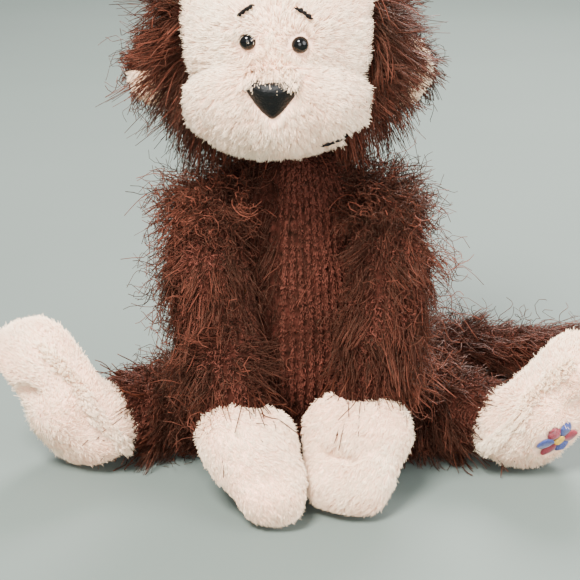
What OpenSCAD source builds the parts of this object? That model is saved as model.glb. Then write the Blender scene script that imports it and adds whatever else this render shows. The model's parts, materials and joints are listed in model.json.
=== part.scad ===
// A seated stuffed monkey: knitted brown body, plush cream face, hands and feet.
// +Z is up, the toy faces -Y, and left and right are the toy's own, so its left is +X.
// The origin is the centre of the flat seat panel, which rests on z = 0.

/* [Fabric] */
// Thickness of every sewn cover
wall = 1.5; // [1.3:0.1:1.8]
// Space between a cover and the filling inside it
loft = 0.3; // [0.2:0.1:0.5]
// Space between a ball-shaped limb end and the socket it turns in
play = 0.6; // [0.5:0.1:1]

/* [Torso] */
// Height of the torso from the seat to the neck
torso_h = 130; // [126:1:132]
// Radius of the flat seat
seat_r = 26; // [20:1:28]
// Radius of the torso at the neck
neck_r = 12; // [11:1:13]

/* [Head] */
// Radius of the head
head_radius = 44; // [43:0.5:45]
// Width of the cream face
face_w = 70; // [66:1:74]
// Height of the cream face
face_h = 68; // [64:1:69]
// Half width of the muzzle
muzzle_half_w = 35; // [33:1:36]
// Radius of the muzzle seen from the side
muzzle_radius = 24; // [23:0.5:24.5]
// Diameter of an eye
eye_d = 6.6; // [6:0.2:8]
// Width of the nose
nose_w = 20.5; // [16:0.5:21]
// Radius of an ear
ear_r = 14.5; // [12:0.5:16]

/* [Arms] */
// Radius of a sleeve at the shoulder
shoulder_r = 15.3; // [14:0.1:15.6]
// Radius of a sleeve at the wrist
wrist_r = 12.5; // [11:0.1:13]
// Half thickness of a hand at the palm
palm_r = 13.5; // [12.5:0.1:14]
// Half thickness of a hand at the fingers
finger_r = 10.6; // [9.5:0.1:11]

/* [Legs] */
// Radius of a leg at the hip
hip_r = 17; // [15:0.5:17.5]
// Radius of a leg at the ankle
ankle_r = 15.5; // [14:0.5:16]
// Half thickness of a foot at the heel
heel_r = 14.5; // [13:0.1:15]
// Half thickness of a foot at the toes
toe_r = 12.5; // [11.5:0.1:13]

/* [Tail] */
// Radius of the tail where it leaves the torso
tail_root_r = 11; // [9:0.5:11.5]
// Radius of the tail at its end
tail_end_r = 9; // [7:0.5:9.5]

/* [Hidden] */
$fn = 48;

BROWN = "saddlebrown";
CREAM = "antiquewhite";
FLEECE = "white";
BEADS = "lightsteelblue";
BLACK = "black";

LEFT = 0;
RIGHT = 1;

// Joint centres and the middles of the fingers, heels and toes, left then right
shoulder = [[40, -12, 113], [-40, -12, 113]];
wrist = [[28, -51, 40], [-23, -57, 37.5]];
fingers = [[19, -74, 11.4], [-10.5, -85.4, 11.4]];
hip = [[40, -9, 21], [-40, -9, 21]];
ankle = [[77, -26, 20], [-69.7, -22.3, 21]];
heel = [[92.5, -33, 16.8], [-84, -29.5, 16.8]];
toes = [[114, -38, 47], [-106, -33, 52]];
sole_faces = [[0.6, -0.8, 0], [-0.6, -0.8, 0]];
// The sole is the part of the foot beyond this far from its middle plane
sole_line = 5;
hand_roll = [0, 12];
tail_root = [17, 42, 15];
tail_middle = [76, 66, 13];
tail_end = [150, 62, 13];
tail_middle_r = 10.3;
// The tail's tip starts this far past the joint, so it can bend both ways
tail_tip_start = 5;

head_c = [-6, -5, 181];
face_c = [-7, -4, 183];
muzzle_c = [-7, -34.5, 157.5];
neck_c = [-2, -5, torso_h];
neck_l = 5.2;
eye_x = [1.7, -17.6];
eye_z = [180, 181];
nose_c = [-8.5, -34.5, 163];
ear_c = [[41.5, 2, 160], [-53.5, 2, 160]];
ear_gap = 1.4;

// A cubic curve through a and d, drawn towards b and c
function curve(a, b, c, d, steps = 10) =
    [for (i = [0 : steps]) let (t = i / steps, s = 1 - t)
        s * s * s * a + 3 * s * s * t * b + 3 * s * t * t * c + t * t * t * d];

// Leaves out the first point of a list
function tail_of(points) = [for (i = [1 : len(points) - 1]) points[i]];

// Moves an outline of [radius, height] points inward by d
function inset(points, d) =
    [for (i = [0 : len(points) - 1])
        let (a = points[max(i - 1, 0)], b = points[min(i + 1, len(points) - 1)],
             along = (b - a) / norm(b - a), p = points[i] + d * [-along.y, along.x])
        [max(p.x, 0), p.y]];

// Closes an outline of [radius, height] points on the axis
function closed(points) =
    concat([[0, points[0].y]], points, [[0, points[len(points) - 1].y]]);

// The length and the two turns that carry +Z onto the line from a to b
function reach(a, b) = norm(b - a);
function polar(a, b) = acos((b - a).z / norm(b - a));
function azimuth(a, b) = atan2((b - a).y, (b - a).x);

// The roll about the line from a to b that turns its local +X towards direction d
function roll_to(a, b, d) =
    let (p = polar(a, b), z = azimuth(a, b),
         side_x = [cos(p) * cos(z), cos(p) * sin(z), -sin(p)], side_y = [-sin(z), cos(z), 0])
    atan2(d * side_y, d * side_x);

// Outline of a tube with ball ends of radius r1 at height 0 and r2 at height h
function tube_outline(r1, r2, h, steps = 7) =
    let (lean = asin((r1 - r2) / h))
    concat([for (i = [1 : steps]) let (a = -90 + (lean + 90) * i / steps) r1 * [cos(a), sin(a)]],
           [for (i = [0 : steps - 1]) let (a = lean + (90 - lean) * i / steps)
               [0, h] + r2 * [cos(a), sin(a)]]);

// Outline of a lens of radius r and half thickness t
function ear_lens_points(r, t, steps = 5) =
    [for (i = [-steps : steps]) let (a = 90 * i / steps) [r * cos(a), t * sin(a)]];

// Outline of a rounded rectangle
function rounded(w, h, r, steps = 6) =
    [for (corner = [0 : 3], i = [0 : steps])
        let (a = 90 * (corner + i / steps), sx = corner == 0 || corner == 3 ? 1 : -1,
             sy = corner < 2 ? 1 : -1)
        [sx * (w / 2 - r) + r * cos(a), sy * (h / 2 - r) + r * sin(a)]];

torso_points = concat(
    curve([seat_r + 1, 0], [54, 20], [28, 78], [24, 110], 12),
    tail_of(curve([24, 110], [23, 120], [20, torso_h - 1], [neck_r, torso_h], 6)));
ear_points = ear_lens_points(ear_r, 3);
ear_pad_points = ear_lens_points(ear_r - 2.7, 1.8);
ear_seat_points = ear_lens_points(ear_r - 2.6, 1.9);

// Radius of the torso at height z
function torso_r(z) = lookup(z, [for (p = torso_points) [p.y, p.x]]);

// Turns children so that their +Z runs from a to b
module along(a, b, roll = 0)
    translate(a) rotate([0, polar(a, b), azimuth(a, b)]) rotate([0, 0, roll]) children();

module turned(points) rotate_extrude() polygon(closed(points));

module tube(a, b, r1, r2, less = 0)
    along(a, b) rotate_extrude()
        polygon(concat([[0, less - r1]], tube_outline(r1 - less, r2 - less, reach(a, b)),
                       [[0, reach(a, b) + r2 - less]]));

// A tube pair side by side in the local Y direction, such as a flattened mitten
module mitten(a, b, roll, r1, r2, half1, half2, less)
    along(a, b, roll) for (side = [-1, 1])
        tube([0, side * half1, 0], [0, side * half2, reach(a, b)], r1, r2, less);

module ball(c, r) translate(c) sphere(r = r);

// A ball round a whose poles lie on the line from a to b
module ball_towards(a, b, r) along(a, b) sphere(r = r);

// Everything on one side of the plane y = 0
module half_space(front) translate([-100, front ? -200 : 0, -10]) cube([200, 200, 300]);

// ---- torso ----

module sockets(grow)
    for (s = [LEFT, RIGHT]) ball(hip[s], hip_r + 1.4 + grow);

module tail_socket(grow) ball(tail_root, tail_root_r + play + grow);

module torso_inside(less) {
    difference() {
        turned(inset(torso_points, less));
        sockets(less);
        tail_socket(less);
    }
}

module torso_cover() {
    difference() {
        turned(torso_points);
        torso_inside(wall);
        sockets(0);
        tail_socket(0);
        translate([0, 0, -1]) cylinder(r = seat_r, h = 1 + wall);
    }
}

module torso_front_panel() color(BROWN) intersection() { torso_cover(); half_space(true); }

module torso_back_panel() color(BROWN) intersection() { torso_cover(); half_space(false); }

module seat_panel() color(BROWN) cylinder(r = seat_r - 0.1, h = wall * 0.7);

module torso_filling() {
    color(FLEECE) difference() {
        torso_inside(wall + loft + 0.4);
        pellet_bag_shape(loft);
    }
}

module pellet_bag_shape(grow) ball([0, 5, 20], 14 + grow);

module seat_pellet_bag() color(BEADS) pellet_bag_shape(0);

module armhole_gather(s) {
    inner = [0, 0, shoulder[s].z - 2];
    color(BROWN) difference() {
        along(inner, shoulder[s]) cylinder(r = 10, h = reach(inner, shoulder[s]) - shoulder_r - play);
        turned(torso_points);
    }
}

module care_label()
    color(CREAM) difference() {
        translate([-50, 1, 46]) cube([14, 0.6, 17]);
        turned(torso_points);
    }

module closing_stitches()
    color(BROWN) for (z = [70 : 5 : 95])
        translate([-2.5, torso_r(z) + 0.65, z]) rotate([0, 90, 0]) cylinder(r = 0.6, h = 5);

module neck_gather()
    color(BROWN) translate(neck_c + [0, 0, 0.35]) cylinder(r = neck_r - 1, h = neck_l);

// ---- head ----

module head_ball(grow) ball_towards(head_c, head_c + [0, -1, 0], head_radius + grow);

module muzzle_egg(grow)
    translate(muzzle_c) rotate([0, 90, 0]) rotate_extrude()
        polygon([for (i = [0 : 16]) let (a = -90 + 180 * i / 16)
            [(muzzle_radius + grow) * cos(a), (muzzle_half_w + grow) * sin(a)]]);

module face_opening()
    translate(face_c) rotate([90, 0, 0]) linear_extrude(height = 80) polygon(rounded(face_w, face_h, 30));

module head_cover() difference() { head_ball(0); head_ball(-wall); }

module eye_holes(r, from, to)
    for (s = [LEFT, RIGHT])
        translate([eye_x[s], from, eye_z[s]]) rotate([-90, 0, 0]) cylinder(r = r, h = to - from);

module head_hood() color(BROWN) difference() { head_cover(); face_opening(); }

module face_panel() {
    color(CREAM) difference() {
        intersection() { head_cover(); face_opening(); }
        eye_holes(1.5, -60, -30);
    }
}

module head_filling() {
    color(FLEECE) difference() {
        head_ball(-wall - loft);
        eye_holes(5.6, -60, -40.5);
        eye_holes(2, -60, -36);
    }
}

module muzzle_panel()
    color(CREAM) difference() { muzzle_egg(0); muzzle_egg(-wall); head_ball(0.03); }

module muzzle_filling() color(FLEECE) difference() { muzzle_egg(-wall - loft); head_ball(loft); }

// Distance from the head's centre plane to its front at the place of an eye
function eye_y(s) =
    head_c.y - sqrt(pow(head_radius, 2) - pow(eye_x[s] - head_c.x, 2) - pow(eye_z[s] - head_c.z, 2));

// Turns children so that their +Z runs forward out of the head at the place of an eye
module eye_place(s) translate([eye_x[s], eye_y(s) - 0.05, eye_z[s]]) rotate([90, 0, 0]) children();

module eye(s) {
    dome = [for (i = [0 : 6]) let (a = 15 * i) [eye_d / 2 * cos(a), 0.4 + 2.6 * sin(a)]];
    color(BLACK) {
        difference() {
            eye_place(s) rotate_extrude() polygon(concat([[0, -1.6], [eye_d / 2, -1.6]], dome));
            head_ball(0.05);
        }
        eye_place(s) translate([0, 0, -9]) cylinder(r = 1.3, h = 9.6);
    }
}

module eye_washer(s) {
    color(FLEECE) translate([eye_x[s], eye_y(s) + 3.2, eye_z[s]]) rotate([-90, 0, 0]) difference() {
        cylinder(r = 5, h = 1.2);
        translate([0, 0, -1]) cylinder(r = 1.35, h = 4);
    }
}

module nose() {
    top = nose_w / 2 - 3;
    color(BLACK) difference() {
        intersection() {
            muzzle_egg(3.6);
            translate(nose_c) rotate([90, 0, 0]) linear_extrude(height = 40)
                hull() for (p = [[-top, 3], [top, 2.4], [0, -6.4]]) translate(p) circle(r = 3, $fn = 24);
        }
        muzzle_egg(0.05);
    }
}

// A strip of thread that lies on the head's front between two [x, z] points
module brow(a, b) {
    color(BLACK) difference() {
        intersection() {
            head_ball(0.8);
            translate([a.x, 0, a.y]) rotate([90, -atan2((b - a).y, (b - a).x), 0])
                translate([0, -0.5, 0]) cube([norm(b - a), 1, 80]);
        }
        head_ball(0.05);
    }
}

module mouth_thread() {
    arc_r = 68;
    color(BLACK) difference() {
        intersection() {
            muzzle_egg(0.8);
            translate([muzzle_c.x, muzzle_c.y, muzzle_c.z - 17.5 + arc_r]) rotate([90, 0, 0]) difference() {
                cylinder(r = arc_r + 0.5, h = 40, $fn = 180);
                translate([0, 0, -1]) cylinder(r = arc_r - 0.5, h = 42, $fn = 180);
                translate([-arc_r - 1, 7 - arc_r, -1]) cube([2 * arc_r + 2, 2 * arc_r, 42]);
            }
        }
        muzzle_egg(0.05);
    }
}

module ear_disc(s, points, forward)
    translate(ear_c[s] + [0, -forward, 0]) rotate([90, 0, s == LEFT ? 18 : -18])
        rotate_extrude() polygon(points);

module ear_outer(s)
    color(BROWN) difference() {
        ear_disc(s, ear_points, 0);
        ear_disc(s, ear_seat_points, 1.8);
        head_ball(ear_gap);
    }

module ear_inner(s) color(CREAM) difference() { ear_disc(s, ear_pad_points, 1.8); head_ball(ear_gap); }

// ---- arms ----

module sleeve(s)
    color(BROWN) difference() {
        tube(shoulder[s], wrist[s], shoulder_r, wrist_r);
        tube(shoulder[s], wrist[s], shoulder_r, wrist_r, wall);
    }

module sleeve_filling(s)
    color(FLEECE) tube(shoulder[s], wrist[s], shoulder_r, wrist_r, wall + loft);

module hand_shape(s, less) {
    palm = wrist[s] + 14 * (fingers[s] - wrist[s]) / reach(wrist[s], fingers[s]);
    mitten(palm, fingers[s], hand_roll[s], palm_r, finger_r, 6.5, 3.5, less);
}

module wrist_socket(s, grow) ball(wrist[s], wrist_r + play + grow);

module hand_cover(s) {
    color(CREAM) difference() {
        hand_shape(s, 0);
        difference() { hand_shape(s, wall); wrist_socket(s, wall); }
        wrist_socket(s, 0);
    }
}

module hand_pellets(s)
    color(BEADS) difference() {
        hand_shape(s, wall + loft);
        wrist_socket(s, wall + loft);
    }

// ---- legs ----

module leg_cover(s)
    color(BROWN) difference() {
        tube(hip[s], ankle[s], hip_r, ankle_r);
        tube(hip[s], ankle[s], hip_r, ankle_r, wall);
    }

module leg_filling(s) color(FLEECE) tube(hip[s], ankle[s], hip_r, ankle_r, wall + loft);

module foot_frame(s) along(heel[s], toes[s], roll_to(heel[s], toes[s], sole_faces[s])) children();

module foot_shape(s, less)
    mitten(heel[s], toes[s], roll_to(heel[s], toes[s], sole_faces[s]), heel_r, toe_r, 4.5, 3.5, less);

module ankle_socket(s, grow) ball(ankle[s], ankle_r + play + grow);

module foot_cover(s) {
    difference() {
        foot_shape(s, 0);
        difference() { foot_shape(s, wall); ankle_socket(s, wall); }
        ankle_socket(s, 0);
    }
}

module sole_side(s) foot_frame(s) translate([sole_line, -50, -40]) cube([50, 100, 120]);

module foot_upper(s) color(CREAM) difference() { foot_cover(s); sole_side(s); }

module foot_sole(s) color(CREAM) intersection() { foot_cover(s); sole_side(s); }

module foot_pellets(s)
    color(BEADS) difference() {
        foot_shape(s, wall + loft);
        ankle_socket(s, wall + loft);
    }

// Five embroidered petals round a middle
module foot_flower() {
    color("royalblue") difference() {
        intersection() {
            foot_shape(LEFT, -0.8);
            foot_frame(LEFT) translate([0, 0, 6]) rotate([0, 90, 0]) union() {
                cylinder(r = 3, h = 40);
                for (i = [0 : 4]) rotate([0, 0, 72 * i]) translate([4, 0, 0]) cylinder(r = 2.2, h = 40);
            }
        }
        foot_shape(LEFT, -0.05);
    }
}

// ---- tail ----

module tail_base_cover()
    color(BROWN) difference() {
        tube(tail_root, tail_middle, tail_root_r, tail_middle_r);
        tube(tail_root, tail_middle, tail_root_r, tail_middle_r, wall);
    }

module tail_base_filling()
    color(FLEECE) tube(tail_root, tail_middle, tail_root_r, tail_middle_r, wall + loft);

module tail_tip_shape(less)
    difference() {
        tube(tail_middle, tail_end, tail_middle_r + 0.4, tail_end_r, less);
        ball_towards(tail_middle, tail_end, tail_middle_r + play + less);
        along(tail_middle, tail_end) translate([-20, -20, -20]) cube([40, 40, 20 + tail_tip_start + less]);
    }

module tail_tip_cover() color(BROWN) difference() { tail_tip_shape(0); tail_tip_shape(wall); }

module tail_tip_filling() color(FLEECE) tail_tip_shape(wall + loft);

torso_front_panel();
torso_back_panel();
seat_panel();
torso_filling();
seat_pellet_bag();
armhole_gather(LEFT);  // armhole_gather_left
armhole_gather(RIGHT);  // armhole_gather_right
care_label();
closing_stitches();
neck_gather();
head_hood();
face_panel();
head_filling();
muzzle_panel();
muzzle_filling();
eye(LEFT);  // eye_left
eye(RIGHT);  // eye_right
eye_washer(LEFT);  // eye_washer_left
eye_washer(RIGHT);  // eye_washer_right
nose();
brow([0.2, 193.5], [5.9, 190.3]);  // brow_left
brow([-20.9, 191], [-15.7, 194]);  // brow_right
mouth_thread();
ear_outer(LEFT);  // ear_outer_left
ear_outer(RIGHT);  // ear_outer_right
ear_inner(LEFT);  // ear_inner_left
ear_inner(RIGHT);  // ear_inner_right
sleeve(LEFT);  // sleeve_left
sleeve(RIGHT);  // sleeve_right
sleeve_filling(LEFT);  // sleeve_filling_left
sleeve_filling(RIGHT);  // sleeve_filling_right
hand_cover(LEFT);  // hand_cover_left
hand_cover(RIGHT);  // hand_cover_right
hand_pellets(LEFT);  // hand_pellets_left
hand_pellets(RIGHT);  // hand_pellets_right
leg_cover(LEFT);  // leg_cover_left
leg_cover(RIGHT);  // leg_cover_right
leg_filling(LEFT);  // leg_filling_left
leg_filling(RIGHT);  // leg_filling_right
foot_upper(LEFT);  // foot_upper_left
foot_upper(RIGHT);  // foot_upper_right
foot_sole(LEFT);  // foot_sole_left
foot_sole(RIGHT);  // foot_sole_right
foot_pellets(LEFT);  // foot_pellets_left
foot_pellets(RIGHT);  // foot_pellets_right
foot_flower();
tail_base_cover();
tail_base_filling();
tail_tip_cover();
tail_tip_filling();
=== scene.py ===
import json
import math

import bmesh
import bpy
import numpy as np
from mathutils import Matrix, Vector


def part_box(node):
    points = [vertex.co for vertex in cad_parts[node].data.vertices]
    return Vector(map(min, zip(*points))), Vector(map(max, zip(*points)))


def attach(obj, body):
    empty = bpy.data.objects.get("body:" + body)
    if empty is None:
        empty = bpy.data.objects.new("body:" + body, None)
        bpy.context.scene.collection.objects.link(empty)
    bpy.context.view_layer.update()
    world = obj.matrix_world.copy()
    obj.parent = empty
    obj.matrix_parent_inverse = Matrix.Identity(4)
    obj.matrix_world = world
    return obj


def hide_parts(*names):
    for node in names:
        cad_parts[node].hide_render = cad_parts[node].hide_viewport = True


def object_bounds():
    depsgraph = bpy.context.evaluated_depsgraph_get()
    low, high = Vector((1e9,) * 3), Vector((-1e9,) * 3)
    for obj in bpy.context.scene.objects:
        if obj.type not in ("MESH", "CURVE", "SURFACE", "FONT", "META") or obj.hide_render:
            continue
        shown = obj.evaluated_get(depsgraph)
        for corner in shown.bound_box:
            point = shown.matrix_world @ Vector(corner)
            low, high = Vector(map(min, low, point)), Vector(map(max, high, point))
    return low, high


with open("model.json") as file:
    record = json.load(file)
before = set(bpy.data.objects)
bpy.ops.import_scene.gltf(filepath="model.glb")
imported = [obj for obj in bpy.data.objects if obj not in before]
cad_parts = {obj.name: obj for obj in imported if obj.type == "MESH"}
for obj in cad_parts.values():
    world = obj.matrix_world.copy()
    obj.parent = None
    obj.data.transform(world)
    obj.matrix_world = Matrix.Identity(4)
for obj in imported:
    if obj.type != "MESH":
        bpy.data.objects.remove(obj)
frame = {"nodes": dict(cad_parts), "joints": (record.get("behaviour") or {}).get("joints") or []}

CAD_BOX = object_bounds()
SCENE = bpy.context.scene
UP = np.array((0.0, 0.0, 1.0))
FLOOR = 0.0003
STAND_PROUD = 0.0135
REACH = [np.array(corner) + way * STAND_PROUD for corner, way in zip(CAD_BOX, (-1, 1))]
BAKE_UV = "OFBake"
TINTS = 64
DENSITY = 1.0


# ---- places, all from the frame ----

JOINT = {joint["name"]: np.array(joint["pos_m"]) for joint in frame["joints"]}


def box_of(node):
    low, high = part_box(node)
    return np.array(low), np.array(high)


def middle_of(node):
    low, high = box_of(node)
    return (low + high) / 2


def unit(v):
    v = np.asarray(v, float)
    return v / np.maximum(np.linalg.norm(v, axis=-1, keepdims=True), 1e-12)


def mix(a, b, t):
    return np.asarray(a) * (1 - t) + np.asarray(b) * t


SIDES = ("left", "right")
SHOULDER, WRIST, HIP, ANKLE = ({side: JOINT[name + side] for side in SIDES}
                               for name in ("shoulder_", "wrist_", "hip_", "ankle_"))
BODY = {"muzzle": "head", "face": "head"}
FINGERS = {"left": WRIST["left"] + (-0.009, -0.023, -0.0286),
           "right": WRIST["right"] + (0.0125, -0.0284, -0.0261)}
HEEL = {"left": ANKLE["left"] + (0.0155, -0.007, -0.0032),
        "right": ANKLE["right"] + (-0.0143, -0.0072, -0.0042)}
TOES = {"left": ANKLE["left"] + (0.037, -0.012, 0.027),
        "right": ANKLE["right"] + (-0.0363, -0.0107, 0.031)}
SOLE_FACES = {"left": unit((0.6, -0.8, 0)), "right": unit((-0.6, -0.8, 0))}
OUTWARD = {"left": np.array((1.0, 0, 0)), "right": np.array((-1.0, 0, 0))}

HEAD = middle_of("head_filling")
HEAD_R = (box_of("head_hood")[1][0] - box_of("head_hood")[0][0]) / 2
FACE_LOW, FACE_HIGH = box_of("face_panel")
FACE = (FACE_LOW + FACE_HIGH) / 2
MUZZLE_LOW, MUZZLE_HIGH = box_of("muzzle_panel")
NOSE_LOW, NOSE_HIGH = box_of("nose")
NOSE = (NOSE_LOW + NOSE_HIGH) / 2
NECK = middle_of("neck_gather")
TAIL_ROOT, TAIL_MIDDLE = JOINT["tail_root"], JOINT["tail_bend"]
TAIL_END = TAIL_MIDDLE + (0.074, -0.004, 0)


# ---- repeatable noise ----

def lattice(i, seed):
    h = (i[..., 0] * 374761393 + i[..., 1] * 668265263 + i[..., 2] * 1440662683 + seed * 974711)
    h = h & 0xFFFFFFFF
    h = ((h ^ (h >> 13)) * 1274126177) & 0xFFFFFFFF
    return ((h ^ (h >> 16)) & 0xFFFF) / 65535.0


def noise(p, scale, seed=0):
    """Smooth value noise from 0 to 1 at points p."""
    q = np.asarray(p) / scale
    cell = np.floor(q).astype(np.int64)
    f = q - cell
    w = f * f * (3 - 2 * f)
    total = 0.0
    for corner in np.ndindex(2, 2, 2):
        c = np.array(corner)
        share = np.prod(np.where(c, w, 1 - w), axis=-1)
        total = total + share * lattice(cell + c, seed)
    return total


def noise_vector(p, scale, seed):
    return np.stack([noise(p, scale, seed + k) for k in (11, 23, 37)], axis=-1) * 2 - 1


# ---- meshes ----

def new_object(name, mesh):
    piece = bpy.data.objects.new(name, mesh)
    SCENE.collection.objects.link(piece)
    return piece


def mesh_from(name, points, faces):
    mesh = bpy.data.meshes.new(name)
    mesh.from_pydata(np.asarray(points).tolist(), [], faces)
    mesh.update()
    return mesh


def smooth_shade(piece):
    flags = np.ones(len(piece.data.polygons), bool)
    piece.data.polygons.foreach_set("use_smooth", flags)


def points_of(piece):
    co = np.zeros(len(piece.data.vertices) * 3, np.float32)
    piece.data.vertices.foreach_get("co", co)
    return co.reshape(-1, 3).astype(float)


def set_points(piece, points):
    piece.data.vertices.foreach_set("co", np.asarray(points, np.float32).ravel())
    piece.data.update()


def normals_of(piece):
    n = np.zeros(len(piece.data.vertices) * 3, np.float32)
    piece.data.vertex_normals.foreach_get("vector", n)
    return n.reshape(-1, 3).astype(float)


def bake_modifiers(piece):
    """Keeps the shape that the modifiers give, and removes them."""
    graph = bpy.context.evaluated_depsgraph_get()
    mesh = bpy.data.meshes.new_from_object(piece.evaluated_get(graph))
    piece.modifiers.clear()
    old = piece.data
    piece.data = mesh
    mesh.name = piece.name
    if old.users == 0:
        bpy.data.meshes.remove(old)


def ball_template():
    work = bmesh.new()
    bmesh.ops.create_icosphere(work, subdivisions=3, radius=1.0)
    points = np.array([v.co for v in work.verts], float)
    faces = np.array([[v.index for v in f.verts] for f in work.faces], int)
    work.free()
    return points, faces


BALL_POINTS, BALL_FACES = ball_template()


def chain(points, radii, step=0.004):
    """Balls along a line of points, their radii changing evenly between them."""
    balls = []
    for a, b, r, s in zip(points, points[1:], radii, radii[1:]):
        count = max(2, int(np.linalg.norm(np.subtract(b, a)) / step) + 1)
        balls += [(mix(a, b, t), mix(r, s, t)) for t in np.linspace(0, 1, count)]
    return balls


def stuffed_form(name, balls, voxel=0.003, smooth=6):
    """One closed skin round a set of balls, each given as (centre, radius)."""
    points, faces = [], []
    for k, (centre, radius) in enumerate(balls):
        points.append(BALL_POINTS * radius + centre)
        faces.append(BALL_FACES + k * len(BALL_POINTS))
    piece = new_object(name, mesh_from(name, np.concatenate(points), np.concatenate(faces).tolist()))
    remesh = piece.modifiers.new("skin", "REMESH")
    remesh.mode = "VOXEL"
    remesh.voxel_size = voxel
    relax = piece.modifiers.new("relax", "SMOOTH")
    relax.factor = 0.5
    relax.iterations = smooth
    bake_modifiers(piece)
    return piece


def puff(caps):
    """Blows every skin up with cloth pressure, each point moving no further than its cap."""
    start = {piece: points_of(piece) for piece in caps}
    for piece in caps:
        cloth = piece.modifiers.new("puff", "CLOTH")
        settings = cloth.settings
        settings.quality = 4
        settings.mass = 0.1
        settings.use_pressure = True
        settings.uniform_pressure_force = 4
        settings.effector_weights.gravity = 0
        cloth.collision_settings.use_collision = False
    for number in range(1, 21):
        SCENE.frame_set(number)
    graph = bpy.context.evaluated_depsgraph_get()
    for piece, cap in caps.items():
        swollen = piece.evaluated_get(graph).data
        co = np.zeros(len(swollen.vertices) * 3, np.float32)
        swollen.vertices.foreach_get("co", co)
        move = np.nan_to_num(co.reshape(-1, 3).astype(float) - start[piece])
        far = np.linalg.norm(move, axis=1, keepdims=True)
        move *= np.minimum(1, cap / np.maximum(far, 1e-9))
        piece.modifiers.clear()
        set_points(piece, start[piece] + move)
    SCENE.frame_set(1)


def refine(piece, levels=1):
    finer = piece.modifiers.new("finer", "SUBSURF")
    finer.levels = levels
    finer.render_levels = levels
    bake_modifiers(piece)
    smooth_shade(piece)


def above_floor(piece, height=FLOOR):
    points = points_of(piece)
    points[:, 2] = np.maximum(points[:, 2], height)
    set_points(piece, points)


def distance_to_line(points, line):
    """Distance from each point to a line through several places."""
    best = np.full(len(points), 1e9)
    for a, b in zip(np.array(line)[:-1], np.array(line)[1:]):
        d = b - a
        t = np.clip((points - a) @ d / (d @ d), 0, 1)
        best = np.minimum(best, np.linalg.norm(points - a - t[:, None] * d, axis=1))
    return best


def crease(piece, line, depth, width):
    """Pulls a sewn line in along a skin."""
    points = points_of(piece)
    pull = depth * np.exp(-(distance_to_line(points, line) / width) ** 2)
    set_points(piece, points - normals_of(piece) * pull[:, None])


def rumple(piece, depth, scale, seed):
    points = points_of(piece)
    lift = depth * (noise(points, scale, seed) * 2 - 1)
    set_points(piece, points + normals_of(piece) * lift[:, None])


RIBS = {}


def knit(piece, a, b, rib=0.0038, row=0.0028, depth=0.0013):
    """Raises ribs that run from a to b, crossed by rows of stitches."""
    points = points_of(piece)
    axis = unit(np.subtract(b, a))
    side = unit(np.cross(axis, (0.3, 1, 0.1)))
    front = np.cross(axis, side)
    local = points - a
    height = local @ axis
    x, y = local @ side, local @ front
    radius = max(np.percentile(np.hypot(x, y), 70), rib)
    ribs = max(8, round(2 * math.pi * radius / rib))
    turn = np.arctan2(y, x)
    wale = np.abs(np.cos(turn * ribs / 2)) ** 0.7
    RIBS[piece.name] = (np.array(a), axis, side, front, ribs)
    stitch = 0.5 + 0.5 * np.cos(2 * math.pi * height / row + 2.5 * np.abs(np.sin(turn * ribs / 2)))
    lump = noise(points, 0.0021, 5)
    lift = depth * (wale * (0.65 + 0.35 * stitch) + 0.5 * lump - 0.6)
    set_points(piece, points + normals_of(piece) * lift[:, None])


# ---- pile and strands ----

def triangles_of(piece):
    piece.data.calc_loop_triangles()
    t = np.zeros(len(piece.data.loop_triangles) * 3, np.int32)
    piece.data.loop_triangles.foreach_get("vertices", t)
    return t.reshape(-1, 3)


def scatter(piece, count, rng, keep=None):
    """Random places on a skin with their normals; keep gives each place's share, 0 to 1."""
    points, normals, tris = points_of(piece), normals_of(piece), triangles_of(piece)
    corner = points[tris]
    area = np.linalg.norm(np.cross(corner[:, 1] - corner[:, 0], corner[:, 2] - corner[:, 0]), axis=1)
    if keep is not None:
        area = area * keep(corner.mean(1), unit(normals[tris].mean(1)))
    total = np.cumsum(area)
    chosen = np.searchsorted(total, rng.random(int(count * DENSITY)) * total[-1])
    u, v = rng.random(len(chosen)), rng.random(len(chosen))
    flip = u + v > 1
    u[flip], v[flip] = 1 - u[flip], 1 - v[flip]
    w = np.stack([1 - u - v, u, v], 1)[:, :, None]
    return (corner[chosen] * w).sum(1), unit((normals[tris[chosen]] * w).sum(1))


STYLES = {
    "pile": dict(length=(0.0028, 0.0044), radius=0.00014, rings=3, lift=0.45, lean=1.0, jitter=0.17, sag=0.05,
                 curl=0.0001, turns=0.5, clump=0.5, per_clump=16, taper=0.5, patch=0.02, mottle=0.11),
    "nub": dict(length=(0.0018, 0.0036), radius=0.00022, rings=4, lift=0.5, lean=0.8, jitter=0.45, sag=0.1,
                curl=0.0006, turns=1.0, clump=0.15, per_clump=8, taper=0.8, patch=0.012, mottle=0.22),
    "lash": dict(length=(0.007, 0.018), radius=0.00016, rings=7, lift=0.35, lean=1.0, jitter=0.34, sag=0.2,
                 curl=0.0005, turns=0.8, clump=0.62, per_clump=9, taper=0.75, patch=0.012, mottle=0.24),
    "fringe": dict(length=(0.008, 0.016), radius=0.00016, rings=11, lift=0.9, lean=0.4, jitter=0.6, sag=0.2,
                   curl=0.0024, turns=1.5, clump=0.3, per_clump=5, taper=0.85, patch=0.012, mottle=0.24),
}


def nearest(points, seeds):
    """For each point, the number of the seed that is nearest to it."""
    found = np.zeros(len(points), int)
    for start in range(0, len(points), 2000):
        part = points[start:start + 2000]
        gap = ((part[:, None, :] - seeds[None]) ** 2).sum(-1)
        found[start:start + 2000] = gap.argmin(1)
    return found


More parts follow.
